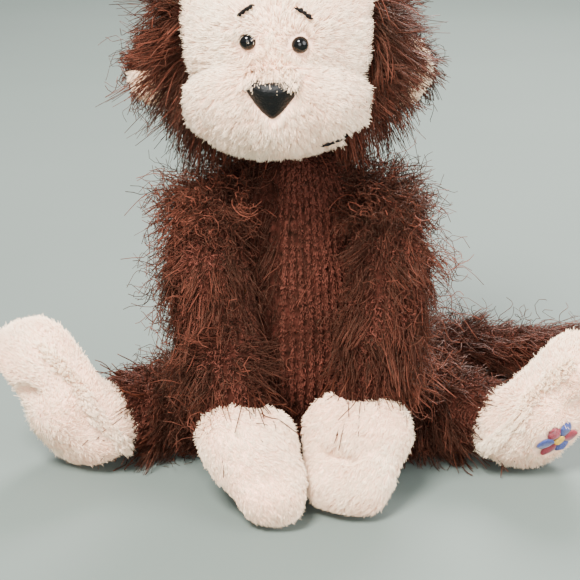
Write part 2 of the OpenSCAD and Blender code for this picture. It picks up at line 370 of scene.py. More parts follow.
def strand_paths(roots, normals, comb, style, rng):
    """Centre lines of strands, shaped (strand, ring, 3)."""
    count = len(roots)
    t = np.linspace(0, 1, style["rings"])[None, :, None]
    length = rng.uniform(*style["length"], count)[:, None]
    length = length * (0.72 + 0.56 * noise(roots, 0.011, 41))[:, None]
    flow = unit(comb(roots, normals))
    flow = flow - normals * (flow * normals).sum(1, keepdims=True)
    wander = rng.normal(0, style["jitter"], (count, 3)) * 0.6
    wander += noise_vector(roots, 0.006, 3) * style["jitter"]
    aim = unit(normals * style["lift"] + flow * style["lean"] + wander)
    dip = (aim * normals).sum(1, keepdims=True)
    aim = unit(aim + normals * np.maximum(0, 0.12 - dip))
    down = -UP + normals * np.maximum(0, (normals * UP).sum(1, keepdims=True))
    bend = rng.normal(0, 0.16, (count, 3))
    tip = length * aim
    path = roots[:, None] + t * tip[:, None]
    path = path + t ** 2 * (length * (style["sag"] * down + bend))[:, None]
    seeds = rng.choice(count, max(1, count // style["per_clump"]), replace=False)
    leader = seeds[nearest(roots, roots[seeds])]
    pull = (path[leader, -1] - path[:, -1]) * style["clump"]
    near = np.linalg.norm(roots[leader] - roots, axis=1, keepdims=True) < 0.6 * style["length"][1]
    path = path + t ** 1.6 * (pull * near)[:, None]
    side = unit(np.cross(aim, rng.normal(0, 1, (count, 3))))
    other = np.cross(aim, side)
    phase = rng.uniform(0, 2 * math.pi, (count, 1, 1))
    turn = 2 * math.pi * style["turns"] * rng.uniform(0.6, 1.4, (count, 1, 1)) * t + phase
    swing = style["curl"] * rng.uniform(0.4, 1.5, (count, 1, 1)) * np.minimum(1, 2.2 * t)
    path = path + swing * ((np.cos(turn) - np.cos(phase)) * side[:, None]
                           + (np.sin(turn) - np.sin(phase)) * other[:, None])
    path = np.clip(path, *REACH)
    path[:, :, 2] = np.maximum(path[:, :, 2], FLOOR + style["radius"] * (1 + 2 * rng.random((count, 1))))
    return path


def tube_mesh(name, path, radius, tint):
    """Three-sided closed strands along paths; tint picks each strand's column in the UV map."""
    count, rings, _ = path.shape
    along = np.gradient(path, axis=1)
    along = unit(along)
    helper = unit(np.cross(along[:, :1], np.roll(along[:, :1], 1, axis=2) + (0.31, 0.17, 0.53)))
    side = unit(np.cross(along, np.broadcast_to(helper, along.shape)))
    other = np.cross(along, side)
    angle = np.arange(3) * 2 * math.pi / 3
    ring = (np.cos(angle)[None, None, :, None] * side[:, :, None]
            + np.sin(angle)[None, None, :, None] * other[:, :, None])
    points = path[:, :, None] + ring * radius[:, :, None, None]
    points[..., 2] = np.maximum(points[..., 2], 0.0001)
    base = (np.arange(count) * rings * 3)[:, None, None, None]
    k = np.arange(rings - 1)[None, :, None]
    j = np.arange(3)[None, None, :]
    quad = np.stack([k * 3 + j, k * 3 + (j + 1) % 3, (k + 1) * 3 + (j + 1) % 3, (k + 1) * 3 + j], -1)
    quads = (quad + base).reshape(-1, 4)
    last = (rings - 1) * 3
    caps = np.array([[2, 1, 0], [last, last + 1, last + 2]])
    tris = (caps[None] + base[:, 0]).reshape(-1, 3)
    mesh = bpy.data.meshes.new(name)
    mesh.vertices.add(count * rings * 3)
    mesh.vertices.foreach_set("co", points.astype(np.float32).ravel())
    loops = np.concatenate([quads.ravel(), tris.ravel()])
    mesh.loops.add(len(loops))
    mesh.loops.foreach_set("vertex_index", loops.astype(np.int32))
    starts = np.concatenate([np.arange(len(quads)) * 4, len(quads) * 4 + np.arange(len(tris)) * 3])
    mesh.polygons.add(len(starts))
    mesh.polygons.foreach_set("loop_start", starts.astype(np.int32))
    column = np.clip((tint * TINTS).astype(int), 0, TINTS - 1)
    u_low = (column + 0.15) / TINTS
    u_step = 0.7 / TINTS / 3
    u = u_low[:, None, None, None] + u_step * (j[..., None] + np.array([0, 1, 1, 0]))
    v = (k[..., None] + np.array([0, 0, 1, 1])) / (rings - 1)
    u, v = np.broadcast_arrays(u, v)
    cap_u = u_low[:, None, None] + u_step * np.array([[0, 3, 1.5], [0, 3, 1.5]])
    cap_v = np.broadcast_to(np.array([[0, 0, 0.04], [1, 1, 0.96]]), (count, 2, 3))
    uv = np.concatenate([np.stack([u, v], -1).reshape(-1, 2), np.stack([cap_u, cap_v], -1).reshape(-1, 2)])
    layer = mesh.uv_layers.new(name=BAKE_UV)
    layer.uv.foreach_set("vector", uv.astype(np.float32).ravel())
    mesh.polygons.foreach_set("use_smooth", np.ones(len(starts), bool))
    mesh.update(calc_edges=True)
    return mesh


def grow(name, key, kind, count, comb, seed, keep=None, tint_power=1.0, shade=None, material=None, **changes):
    """Grows strands of one kind over a skin as a piece of their own."""
    skin, style = SKINS[key], dict(STYLES[kind], **changes)
    material = material or {"pile": CREAM_PILE, "nub": BROWN_NUB}.get(kind, BROWN_LASH)
    slot = "cream_plush" if kind == "pile" else "brown_knit"
    rng = np.random.default_rng(seed)
    roots, normals = scatter(skin, count, rng, keep)
    path = strand_paths(roots - normals * 0.0002, normals, comb, style, rng)
    t = np.linspace(0, 1, style["rings"])[None]
    thick = style["radius"] * rng.uniform(0.75, 1.25, (len(roots), 1))
    radius = thick * (1 - (1 - style["taper"]) * t ** 1.5)
    tint = 0.6 * noise(roots, style["patch"], 9) + 0.4 * noise(roots, 0.005, 4)
    tint = np.clip(tint + rng.normal(0, style["mottle"], len(roots)), 0, 0.999) ** tint_power
    # shade scales the tints down towards the dull strand colours: painted shade.
    if shade:
        tint = tint * shade(roots)
    belong(new_object(name, tube_mesh(name, path, radius, tint)), material, BODY.get(key, key), slot)


# ---- materials ----

def new_material(name):
    material = bpy.data.materials.new(name)
    material.use_nodes = True
    nodes, links = material.node_tree.nodes, material.node_tree.links
    nodes.clear()
    shader = nodes.new("ShaderNodeBsdfPrincipled")
    output = nodes.new("ShaderNodeOutputMaterial")
    links.new(shader.outputs["BSDF"], output.inputs["Surface"])
    return material, nodes, links, shader


def ramp(nodes, stops):
    node = nodes.new("ShaderNodeValToRGB")
    elements = node.color_ramp.elements
    while len(elements) < len(stops):
        elements.new(0.5)
    for element, (place, colour) in zip(elements, stops):
        element.position = place
        element.color = (*colour, 1)
    return node


def strand_material(name, dull, bright, roughness, sheen, sheen_tint):
    """Colour runs from root to tip and differs between strands. dull and bright are (root, tip)."""
    material, nodes, links, shader = new_material(name)
    uv = nodes.new("ShaderNodeUVMap")
    uv.uv_map = BAKE_UV
    split = nodes.new("ShaderNodeSeparateXYZ")
    links.new(uv.outputs["UV"], split.inputs["Vector"])
    ramps = []
    for root, tip in (dull, bright):
        middle = tuple(0.55 * a + 0.45 * b for a, b in zip(root, tip))
        node = ramp(nodes, [(0.0, root), (0.45, middle), (1.0, tip)])
        links.new(split.outputs["Y"], node.inputs["Fac"])
        ramps.append(node)
    blend = nodes.new("ShaderNodeMix")
    blend.data_type = "RGBA"
    links.new(split.outputs["X"], blend.inputs["Factor"])
    links.new(ramps[0].outputs["Color"], blend.inputs["A"])
    links.new(ramps[1].outputs["Color"], blend.inputs["B"])
    links.new(blend.outputs["Result"], shader.inputs["Base Color"])
    shader.inputs["Roughness"].default_value = roughness
    shader.inputs["Sheen Weight"].default_value = sheen
    shader.inputs["Sheen Roughness"].default_value = 0.4
    shader.inputs["Sheen Tint"].default_value = (*sheen_tint, 1)
    return material


def surface_material(name, dark, light, scale, roughness, bump, bump_scale, sheen=0.0):
    """Two shades mixed by noise, with a fine bump."""
    material, nodes, links, shader = new_material(name)
    place = nodes.new("ShaderNodeTexCoord")
    shade = nodes.new("ShaderNodeTexNoise")
    shade.inputs["Scale"].default_value = scale
    shade.inputs["Detail"].default_value = 6.0
    colours = ramp(nodes, [(0.3, dark), (0.7, light)])
    links.new(place.outputs["Object"], shade.inputs["Vector"])
    links.new(shade.outputs["Fac"], colours.inputs["Fac"])
    links.new(colours.outputs["Color"], shader.inputs["Base Color"])
    grain = nodes.new("ShaderNodeTexNoise")
    grain.inputs["Scale"].default_value = bump_scale
    grain.inputs["Detail"].default_value = 4.0
    relief = nodes.new("ShaderNodeBump")
    relief.inputs["Strength"].default_value = bump
    relief.inputs["Distance"].default_value = 0.0004
    links.new(place.outputs["Object"], grain.inputs["Vector"])
    links.new(grain.outputs["Fac"], relief.inputs["Height"])
    links.new(relief.outputs["Normal"], shader.inputs["Normal"])
    shader.inputs["Roughness"].default_value = roughness
    shader.inputs["Sheen Weight"].default_value = sheen
    return material


BROWN_SKIN = surface_material("brown_knit_ground", (0.003, 0.0009, 0.0006), (0.030, 0.0075, 0.0054),
                              300, 0.9, 0.7, 900)
BROWN_NUB = strand_material("brown_curls", ((0.003, 0.0009, 0.0006), (0.022, 0.0060, 0.0042)),
                            ((0.014, 0.0038, 0.0026), (0.112, 0.032, 0.0225)), 0.6, 0.04, (0.9, 0.5, 0.35))
BROWN_LASH = strand_material("brown_strands", ((0.002, 0.0006, 0.0004), (0.012, 0.0034, 0.0024)),
                             ((0.008, 0.0021, 0.0014), (0.135, 0.038, 0.0235)), 0.45, 0.05, (1.0, 0.6, 0.4))
DARK_LASH = strand_material("dark_strands", ((0.008, 0.003, 0.002), (0.020, 0.007, 0.005)),
                            ((0.012, 0.004, 0.0025), (0.07, 0.018, 0.009)), 0.45, 0.0, (1.0, 0.6, 0.4))
for brown in (BROWN_SKIN, BROWN_NUB, BROWN_LASH, DARK_LASH):
    shader = brown.node_tree.nodes["Principled BSDF"]
    shader.inputs["Specular IOR Level"].default_value = 0.22
    shader.inputs["Specular Tint"].default_value = (1.0, 0.5, 0.33, 1)
CREAM_SKIN = surface_material("cream_plush_ground", (0.76, 0.46, 0.32), (0.88, 0.58, 0.42),
                              180, 0.95, 0.4, 700, sheen=0.2)
CREAM_PILE = strand_material("cream_pile", ((0.82, 0.45, 0.28), (0.94, 0.62, 0.41)),
                             ((0.92, 0.67, 0.46), (0.99, 0.86, 0.64)), 0.8, 0.2, (1.0, 0.93, 0.85))
EYE_BLACK = surface_material("eye_gloss", (0.0012, 0.0012, 0.0012), (0.002, 0.002, 0.002), 40, 0.07, 0.0, 100)
NOSE_BLACK = surface_material("nose_leatherette", (0.0010, 0.0012, 0.0012), (0.0022, 0.0026, 0.0026),
                              90, 0.38, 1.0, 1100)
THREAD_BLACK = surface_material("black_thread", (0.0018, 0.0013, 0.0012), (0.006, 0.0045, 0.004),
                                900, 0.6, 0.5, 2500)
for glossy, level in ((EYE_BLACK, 0.22), (NOSE_BLACK, 0.17), (THREAD_BLACK, 0.12)):
    glossy.node_tree.nodes["Principled BSDF"].inputs["Specular IOR Level"].default_value = level
THREAD_BROWN = surface_material("brown_thread", (0.045, 0.013, 0.008), (0.12, 0.036, 0.020),
                                900, 0.55, 0.5, 2500, sheen=0.2)
LABEL_WHITE = surface_material("label_satin", (0.72, 0.71, 0.68), (0.84, 0.83, 0.80),
                               300, 0.45, 0.3, 2000, sheen=0.2)
WASHER = surface_material("washer_plastic", (0.70, 0.70, 0.69), (0.78, 0.78, 0.77), 60, 0.4, 0.1, 300)
PETAL_BLUE, PETAL_RED, HEART_YELLOW = (
    surface_material(name, dark, light, 700, 0.4, 0.4, 2500, sheen=0.3) for name, dark, light in (
        ("petal_thread", (0.004, 0.012, 0.10), (0.012, 0.035, 0.20)),
        ("petal_thread_red", (0.13, 0.003, 0.010), (0.24, 0.010, 0.025)),
        ("heart_thread", (0.42, 0.23, 0.008), (0.66, 0.40, 0.02))))


def belong(piece, material, body, slot, *nodes, fill=None):
    """Gives a piece its material and its body, and hides the nodes that it stands for; slot is not used."""
    piece.data.materials.append(material)
    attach(piece, body)
    if nodes:
        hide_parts(*nodes)
    return piece


# ---- skins ----

def torso_radius(z):
    """Radius of the torso at a height, as a share of the width of its front panel."""
    low, high = box_of("torso_front_panel")
    half = (high[0] - low[0]) / 2
    place = np.clip(z / (high[2] - low[2]), 0, 1)
    heights = (0, 0.1, 0.2, 0.4, 0.6, 0.8, 0.9, 1)
    return half * np.interp(place, heights, (0.82, 0.95, 1.0, 0.97, 0.83, 0.67, 0.6, 0.33))


def torso_skin():
    balls = [(np.array((0, 0, z)), torso_radius(z) - 0.003) for z in np.linspace(0.018, 0.112, 14)]
    yoke = [(-0.021, -0.006, 0.104), (-0.009, -0.005, 0.113), (0.009, -0.005, 0.113), (0.021, -0.006, 0.104)]
    balls += chain([np.array(place) for place in yoke], (0.0145, 0.0155, 0.0155, 0.0145))
    return stuffed_form("torso_skin", balls, 0.0035, 10)


def sleeve_skin(side):
    a, b = SHOULDER[side], WRIST[side]
    bow = OUTWARD[side] * 0.002 + (0, -0.002, 0)
    top = a - UP * 0.0075 - OUTWARD[side] * 0.0045 + (0, -0.002, 0)
    line = [top, mix(a, b, 0.38) + bow, mix(a, b, 0.7) + bow, b]
    return stuffed_form("sleeve_skin_" + side, chain(line, (0.0115, 0.0150, 0.0148, 0.0118)))


def hand_skin(side):
    wrist, fingers = WRIST[side], FINGERS[side]
    across = unit(np.cross(fingers - wrist, UP)) * 0.0065
    palm = wrist + unit(fingers - wrist) * 0.0150
    if side == "left":
        balls = [(palm - across * 1.25, 0.0138), (palm, 0.0145), (palm + across * 1.25, 0.0138)]
        low = fingers + (0.0015, -0.0002, 0.0008)
        balls += chain([palm, low], (0.0140, 0.0110))
        balls += chain([palm - across * 1.25, low - across * 1.0], (0.0132, 0.0102))
        balls += chain([palm + across * 1.25, low + across * 0.95], (0.0132, 0.0104))
    else:
        tip = fingers + (0.0018, 0.0018, 0.0006)
        balls = chain([palm + OUTWARD[side] * 0.0048, tip + OUTWARD[side] * 0.0022], (0.0150, 0.0104))
        balls += chain([palm - OUTWARD[side] * 0.0052, tip - OUTWARD[side] * 0.0025], (0.0136, 0.0100))
        balls += [(mix(palm, fingers, 0.66) - OUTWARD[side] * 0.0100, 0.0076)]
    return stuffed_form("hand_skin_" + side, balls, 0.0022, 12)


def foot_skin(side):
    heel, toes = HEEL[side], TOES[side]
    along = unit(toes - heel)
    facing = SOLE_FACES[side] - along * (SOLE_FACES[side] @ along)
    across = unit(np.cross(along, facing))
    balls = []
    for s in (-1, 0, 1):
        line = [heel + across * s * 0.0055, mix(heel, toes, 0.34) + facing * 0.0030 + across * s * 0.0046,
                mix(heel, toes, 0.62) + across * s * 0.0036, toes + across * s * 0.0044]
        balls += chain(line, (0.0148, 0.0142, 0.0122, 0.0124))
    balls += chain([ANKLE[side] + 0.35 * (heel - ANKLE[side]), heel], (0.0138, 0.0148))
    return stuffed_form("foot_skin_" + side, balls, 0.0025, 10)


def leg_skin(side):
    a, b = HIP[side], ANKLE[side]
    return stuffed_form("leg_skin_" + side, chain([a, mix(a, b, 0.5), b], (0.0162, 0.0160, 0.0146)))


def head_skin():
    balls = [(HEAD, HEAD_R - 0.0022), (HEAD + (0, 0.002, 0.001), HEAD_R - 0.003)]
    return stuffed_form("head_skin", balls, 0.004, 4)


def muzzle_skin():
    centre = (MUZZLE_LOW + MUZZLE_HIGH) / 2
    half = (MUZZLE_HIGH - MUZZLE_LOW) / 2
    y = MUZZLE_LOW[1] + half[2] - 0.001
    points = [np.array((centre[0] + half[0] * s, y + 0.003 * s * s, centre[2] + 0.001 * (1 - s * s)))
              for s in (-0.62, -0.4, -0.15, 0.15, 0.4, 0.62)]
    radii = [half[2] * k for k in (0.60, 0.82, 0.93, 0.93, 0.82, 0.60)]
    return stuffed_form("muzzle_skin", chain(points, radii, 0.006), 0.0028, 8)


def tail_skin(name, a, b, r, s):
    lift = np.array((0, 0, 0.001))
    return stuffed_form(name, chain([a, mix(a, b, 0.5) + lift, b], (r, mix(r, s, 0.5), s)))


def ear_skin(side):
    low, high = box_of("ear_outer_" + side)
    centre, half = (low + high) / 2, (high - low) / 2
    balls = [(centre, 0.004)]
    for turn in np.linspace(0, 2 * math.pi, 22, endpoint=False):
        ring = np.array((math.cos(turn) * (half[0] - 0.0034), -0.0008, math.sin(turn) * (half[2] - 0.0034)))
        balls.append((centre + ring, 0.0032))
        balls += [(centre + ring * k + (0, 0.0006, 0), 0.0027) for k in (0.72, 0.45, 0.2)]
    return stuffed_form("ear_skin_" + side, balls, 0.0014, 5)


SKINS = {"torso": torso_skin(), "head": head_skin(), "muzzle": muzzle_skin(),
         "tail_base": tail_skin("tail_base_skin", TAIL_ROOT, TAIL_MIDDLE, 0.0102, 0.0096),
         "tail_tip": tail_skin("tail_tip_skin", TAIL_MIDDLE, TAIL_END, 0.0096, 0.0082)}
for side in SIDES:
    SKINS["arm_" + side] = sleeve_skin(side)
    SKINS["hand_" + side] = hand_skin(side)
    SKINS["leg_" + side] = leg_skin(side)
    SKINS["foot_" + side] = foot_skin(side)
    SKINS["ear_" + side] = ear_skin(side)

PUFF_CAP = {"torso": 0.0025, "head": 0.0012, "muzzle": 0.001}
puff({skin: PUFF_CAP.get(key, 0.0007) for key, skin in SKINS.items() if not key.startswith("ear")})

for key, skin in SKINS.items():
    above_floor(skin, 0.0006 if key == "torso" else FLOOR)
    refine(skin, 2 if key.startswith(("torso", "arm", "leg", "tail")) else 1)
    if not key.startswith("ear"):
        rumple(skin, 0.0006, 0.012, 31)


def sole_seam(side):
    """The sewn edge between the sole and the upper, down the front of a foot."""
    heel, toes = HEEL[side], TOES[side]
    along_foot = unit(toes - heel)
    facing = unit(SOLE_FACES[side] - along_foot * (SOLE_FACES[side] @ along_foot))
    across = np.cross(along_foot, facing) * (1 if side == "right" else -1)
    return [mix(heel, toes, t) + facing * (0.006 + 0.002 * math.sin(7 * t)) + across * 0.016
            for t in (-0.3, 0, 0.3, 0.6, 0.9, 1.2)]


palm_fold = mix(WRIST["left"], FINGERS["left"], 0.62) + (0, -0.011, 0.002)
crease(SKINS["hand_left"], [palm_fold + (-0.013, 0.002, 0.003), palm_fold, palm_fold + (0.010, 0.001, 0.002)],
       0.0042, 0.0026)
crease(SKINS["hand_left"], [palm_fold, palm_fold + (-0.003, -0.003, -0.007)], 0.0032, 0.0026)
dimple = mix(WRIST["right"], FINGERS["right"], 0.86) + (0.002, -0.008, 0.006)
crease(SKINS["hand_right"], [dimple - (0.004, 0, 0), dimple + (0.004, 0, 0.002)], 0.0024, 0.0050)
for side in SIDES:
    fold = mix(HEEL[side], TOES[side], 0.62) + SOLE_FACES[side] * 0.0125
    crease(SKINS["foot_" + side], [fold - (0.013, 0, 0.004), fold, fold + (0.015, 0, -0.002)], 0.0034, 0.0034)
    crease(SKINS["foot_" + side], sole_seam(side), -0.0011, 0.0022)
knit(SKINS["torso"], (0, 0, 0), (0, 0, 0.1))
knit(SKINS["tail_base"], TAIL_ROOT, TAIL_MIDDLE)
knit(SKINS["tail_tip"], TAIL_MIDDLE, TAIL_END)
for side in SIDES:
    knit(SKINS["arm_" + side], SHOULDER[side], WRIST[side])
    knit(SKINS["leg_" + side], HIP[side], ANKLE[side])


def finish_skin(key, fill, *nodes):
    """Settles a skin on the floor, gives it its material and body, and hides the nodes that it stands for."""
    above_floor(SKINS[key], 0.0004)
    cream = key.startswith(("muzzle", "hand", "foot"))
    material, slot = (CREAM_SKIN, "cream_plush") if cream else (BROWN_SKIN, "brown_knit")
    belong(SKINS[key], material, BODY.get(key, key), slot, *nodes, fill=fill)


finish_skin("torso", 0.75, "torso_front_panel", "torso_back_panel", "seat_panel", "torso_filling",
            "seat_pellet_bag")
finish_skin("head", 0.85, "head_hood", "head_filling")
finish_skin("muzzle", 0.85, "muzzle_panel", "muzzle_filling")
finish_skin("tail_base", 0.6, "tail_base_cover", "tail_base_filling")
finish_skin("tail_tip", 0.6, "tail_tip_cover", "tail_tip_filling")
for side in SIDES:
    finish_skin("arm_" + side, 0.5, "sleeve_" + side, "sleeve_filling_" + side)
    finish_skin("leg_" + side, 0.5, "leg_cover_" + side, "leg_filling_" + side)
    finish_skin("hand_" + side, 0.6, "hand_cover_" + side, "hand_pellets_" + side)
    finish_skin("foot_" + side, 0.7, "foot_upper_" + side, "foot_sole_" + side, "foot_pellets_" + side)
    finish_skin("ear_" + side, 0.4, "ear_outer_" + side, "ear_inner_" + side)


# ---- the face panel: a padded cream cap that stands proud of the head ----

def face_inset(points):
    """How far inside the face's rounded outline each point lies, seen from the front."""
    half = (FACE_HIGH - FACE_LOW)[[0, 2]] / 2
    corner = 0.030
    gap = np.abs(points[:, [0, 2]] - FACE[[0, 2]]) - (half - corner)
    outside = np.linalg.norm(np.maximum(gap, 0), axis=1)
    return corner - outside - np.minimum(np.maximum(gap[:, 0], gap[:, 1]), 0)


def face_cap():
    columns, rows, half = 44, 44, (FACE_HIGH - FACE_LOW) / 2
    points, faces = [], []
    for i in range(rows + 1):
        for j in range(columns + 1):
            u, v = 2 * j / columns - 1, 2 * i / rows - 1
            x, z = u * math.sqrt(1 - v * v / 2) ** 0.6, v * math.sqrt(1 - u * u / 2) ** 0.6
            points.append((FACE[0] + half[0] * x, 0, FACE[2] + half[2] * z))
    points = np.array(points)
    edge = np.clip(face_inset(points) / 0.006, 0, 1)
    out = np.sqrt(np.maximum(0, 1 - (1 - edge) ** 2))
    flat = np.hypot(points[:, 0] - HEAD[0], points[:, 2] - HEAD[2])
    depth = np.sqrt(np.maximum(0, HEAD_R ** 2 - flat ** 2))
    points[:, 1] = HEAD[1] - depth + 0.002 - 0.0024 * out
    for i in range(rows):
        for j in range(columns):
            a = i * (columns + 1) + j
            faces.append((a, a + 1, a + columns + 2, a + columns + 1))
    piece = new_object("face_skin", mesh_from("face_skin", points, faces))
    thick = piece.modifiers.new("thick", "SOLIDIFY")
    thick.thickness = 0.002
    thick.offset = -1
    bake_modifiers(piece)
    smooth_shade(piece)
    return belong(piece, CREAM_SKIN, "head", "cream_plush", "face_panel", fill=0.8)


SKINS["face"] = face_cap()


# ---- gathers ----

def gather(name, centre, axis, radius, height, folds, body, node):
    """A short tube of cloth drawn into folds."""
    axis = unit(axis)
    side = unit(np.cross(axis, (0.2, 0.9, 0.35)))
    other = np.cross(axis, side)
    around, up = folds * 8, 8
    points, faces = [], []
    for i in range(up + 1):
        v = i / up
        for j in range(around):
            turn = 2 * math.pi * j / around
            r = radius * (1 - 0.12 * math.sin(math.pi * v)) + 0.0006 * math.cos(folds * turn + v)
            spot = np.array(centre) + axis * height * (v - 0.5)
            points.append(spot + r * (math.cos(turn) * side + math.sin(turn) * other))
            if i < up:
                k, n = i * around + j, i * around + (j + 1) % around
                faces.append((k, n, n + around, k + around))
    faces += [tuple(reversed(range(around))), tuple(range(up * around, (up + 1) * around))]
    piece = new_object(name, mesh_from(name, points, faces))
    smooth_shade(piece)
    belong(piece, BROWN_SKIN, body, "brown_knit", node, fill=0.4)


neck_low, neck_high = box_of("neck_gather")
neck_size = neck_high - neck_low
gather("neck_folds", NECK, UP, neck_size[0] / 2 - 0.0007, neck_size[2], 17, "neck", "neck_gather")
for side in SIDES:
    gather("armhole_folds_" + side, middle_of("armhole_gather_" + side), OUTWARD[side] * 1.0 + (0, -0.25, 0),
           0.0088, 0.008, 13, "torso", "armhole_gather_" + side)


# ---- combing ----

def away_from(place, weight=1.0, and_down=0.0, turn=0.0):
    """Combs away from a place, partly round it and partly down."""
    def comb(p, n):
        out = unit(p - place)
        return weight * out + turn * np.cross(n, out) - and_down * UP
    return comb


def along(direction, swirl=0.35, scale=0.02, seed=7):
    def comb(p, n):
        return unit(direction) + swirl * noise_vector(p, scale, seed)
    return comb


def head_comb(p, n):
    out = (p - HEAD) * (1, 0.35, 1)
    return unit(out) + 0.25 * noise_vector(p, 0.018, 2) - 0.35 * UP


def arm_comb(side):
    way = unit(WRIST[side] - SHOULDER[side])
    whorl = mix(SHOULDER[side], WRIST[side], 0.72) + (0.002, -0.013, 0)

    def comb(p, n):
        flow = way + 0.55 * OUTWARD[side] + (0, -0.25, 0) + 0.55 * noise_vector(p, 0.016, 13)
        if side == "left":
            return flow
        gap = p - whorl
        near = np.exp(-(np.linalg.norm(gap, axis=1, keepdims=True) / 0.016) ** 2)
        return flow * (1 - near) + near * (unit(gap) + 0.6 * np.cross(n, unit(gap)))
    return comb


def leg_comb(side):
    way = unit(ANKLE[side] - HIP[side])
    return along(way * 0.7 - UP * 0.8 + (0, -0.35, 0), 0.45, 0.018, 17)


def hand_comb(side):
    way = unit(FINGERS[side] - WRIST[side])
    lean = np.array((-0.5, 0, 0)) if side == "left" else np.array((0.45, 0, 0))
    return along(way + lean, 0.3, 0.014, 19)


def foot_comb(side):
    heel, toes = HEEL[side], TOES[side]
    whorl = mix(heel, toes, 0.4) + SOLE_FACES[side] * 0.012

    def comb(p, n):
        gap = unit(p - whorl)
        swirl = 0.8 * gap + 0.45 * np.cross(n, gap)
        return swirl + 0.4 * unit(toes - heel) + 0.25 * noise_vector(p, 0.015, 29)
    return comb


# ---- coats ----

def rib_crests(piece, sharp=3.0):
    """Favours the crests of a skin's ribs, where the yarn's curls are knitted in."""
    a, axis, side, front, ribs = RIBS[piece.name]

    def keep(p, n):
        turn = np.arctan2((p - a) @ front, (p - a) @ side)
        return np.abs(np.cos(turn * ribs / 2)) ** sharp + 0.05
    return keep


def outside_of(centre, radius):
    return lambda p, n: (np.linalg.norm(p - centre, axis=1) > radius).astype(float)


def inside_of(centre, radius):
    return lambda p, n: np.linalg.norm(p - centre, axis=1) < radius


def hood_only(p, n):
    front = p[:, 1] < HEAD[1]
    return np.where(front & (face_inset(p) > 0.0005), 0.0, 1.0)


def hood_upper(p, n):
    """The hood's front and sides carry more strands than its back."""
    return hood_only(p, n) * np.where(p[:, 1] < HEAD[1] + 0.012, 1.0, 0.55)


def on_chest(p):
    """The middle of the chest, where the ribs show."""
    return (p[:, 1] < -0.004) & (p[:, 0] > -0.006) & (p[:, 0] < 0.028) & (p[:, 2] > 0.03)


def chest_parted(p, n):
    return np.where(on_chest(p), 0.07, 1.0)


def torso_painted_shade(p):
    """Painted shade: strand tints in the hollow between the chest and the right arm are scaled down to 0.2.
    """
    return np.where((p[:, 1] < 0) & (p[:, 0] < -0.006), 0.2, 1.0)


def arm_painted_shade(side):
    """Painted shade: strand tints on the side of an arm that faces the chest are scaled down to 0.35."""
    a, b = SHOULDER[side], WRIST[side]

    def shade(p):
        t = np.clip((a[2] - p[:, 2]) / (a[2] - b[2]), 0, 1)
        inward = (a[0] + (b[0] - a[0]) * t - p[:, 0]) * OUTWARD[side][0]
        return np.where(inward > 0.006, 0.35, 1.0)
    return shade


def leg_painted_shade(p):
    """Painted shade: the legs' strand tints are scaled down to 0.62 all over, standing in for the shade of
    the body.
    """
    return np.full(len(p), 0.62)


def off_chest(p, n):
    return np.where(on_chest(p), 0.12, 1.0)


def chest_ribs(p, n):
    return on_chest(p) * rib_crests(SKINS["torso"], 10.0)(p, n)


def ruff(p, n):
    """Round the neck, at its sides and back."""
    return (p[:, 2] > 0.104) & ((np.abs(p[:, 0]) > 0.016) | (p[:, 1] > 0))


def ear_front(side):
    """The cream lining; the hood's hair lies over the upper part of the right one."""
    top = middle_of("ear_inner_" + side)[2] + (0.0 if side == "right" else 0.02)
    return lambda p, n: (n[:, 1] < -0.6) & (p[:, 2] < top)


def ear_rest(side):
    front = ear_front(side)
    return lambda p, n: ~front(p, n) & (n[:, 1] > (-0.55 if side == "left" else -2))


def shoulder_top(side):
    return lambda p, n: np.where(p[:, 2] > SHOULDER[side][2] - 0.012, np.clip(n[:, 2] + 0.7, 0, 1), 0.0)


def facing_out(side):
    return lambda p, n: np.clip(n @ OUTWARD[side] - 0.35, 0, 1) * (p[:, 2] > 0.03)


def nape(p, n):
    """The lower sides and back of the hood, whose long hair hides the neck."""
    beside = (p[:, 1] > HEAD[1] + 0.004) | ((p[:, 1] > HEAD[1] - 0.024) & (np.abs(p[:, 0] - HEAD[0]) > 0.020))
    low = (p[:, 2] < HEAD[2] - 0.012) & beside
    return np.where(low & (n[:, 2] > -0.93), hood_only(p, n), 0.0)


def side_locks(p, n):
    """The sides of the hood, in front of the ears."""
    low_side = (p[:, 2] > HEAD[2] - 0.036) & (p[:, 2] < HEAD[2] + 0.012) & (np.abs(p[:, 0] - HEAD[0]) > 0.024)
    return np.where(low_side & (p[:, 1] < HEAD[1] + 0.006), hood_only(p, n), 0.0)


def brown_coat(key, comb, nubs, lashes, curls, seed, keep=None, lash_keep=None, nub_keep=None, shade=None,
               **changes):
    """Curls in the knit, long strands over them and a loose fringe of curly ones."""
    skin = SKINS[key]
    on_ribs = nub_keep or keep
    if skin.name in RIBS:
        crests, part = rib_crests(skin), on_ribs
        on_ribs = (lambda p, n: crests(p, n) * part(p, n)) if part else crests
    grow(key + "_curls", key, "nub", nubs, comb, seed, on_ribs, shade=shade)
    grow(key + "_strands", key, "lash", lashes, comb, seed + 1, lash_keep or keep, tint_power=1.9,
         shade=shade, **changes)
    grow(key + "_fringe", key, "fringe", curls, comb, seed + 2, lash_keep or keep, tint_power=1.6,
         shade=shade)


FLOWER = middle_of("foot_flower") + unit(TOES["left"] - HEEL["left"]) * 0.0045
FLOWER_R = 0.0088


def foot_plush(side):
    past_ankle = outside_of(ANKLE[side], 0.012)
    if side == "right":
        return past_ankle
    off_flower = outside_of(FLOWER, FLOWER_R * 1.05)
    return lambda p, n: past_ankle(p, n) * off_flower(p, n)


def by_seam(side):
    seam = sole_seam(side)
    return lambda p, n: distance_to_line(p, seam) < 0.0032


def cream_coat(name, key, comb, seed, keep=None, count=11500, **changes):
    """Two layers of pile, each under the limit of faces for one piece."""
    for layer, letter in enumerate("ab"):
        grow(name + "_" + letter, key, "pile", count, comb, seed + layer, keep, **changes)


